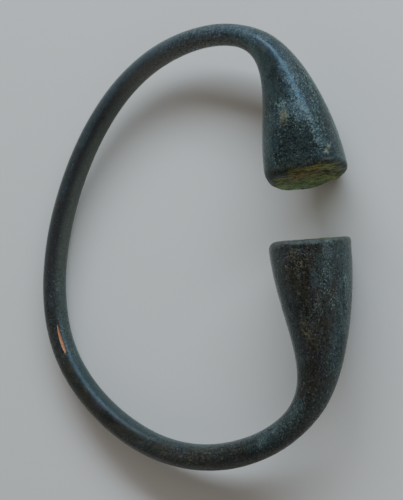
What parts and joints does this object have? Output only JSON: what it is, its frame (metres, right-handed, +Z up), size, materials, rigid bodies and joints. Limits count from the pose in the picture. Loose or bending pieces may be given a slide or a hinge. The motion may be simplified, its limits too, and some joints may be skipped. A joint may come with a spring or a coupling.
{
  "type": "torc",
  "caption": "Cast bronze neck-ring of round section, open at the front between two trumpet-shaped terminals with flat end faces; it lies flat on its side.",
  "frame": {"origin": "on the ground, under the middle of the box of the torc as it lies", "axes": "+X from the back of the hoop to the open side, +Y along the open side from the lower terminal to the upper one, +Z up from the ground it lies on"},
  "size_m": [0.1162, 0.1294, 0.023],
  "materials": {
    "patinated_bronze": "satin dark blue-green patina over cast bronze, mottled brown-black, with pale green and ochre specks"
  },
  "bodies": {
    "root": {"torc": "patinated_bronze"}
  },
  "joints": []
}
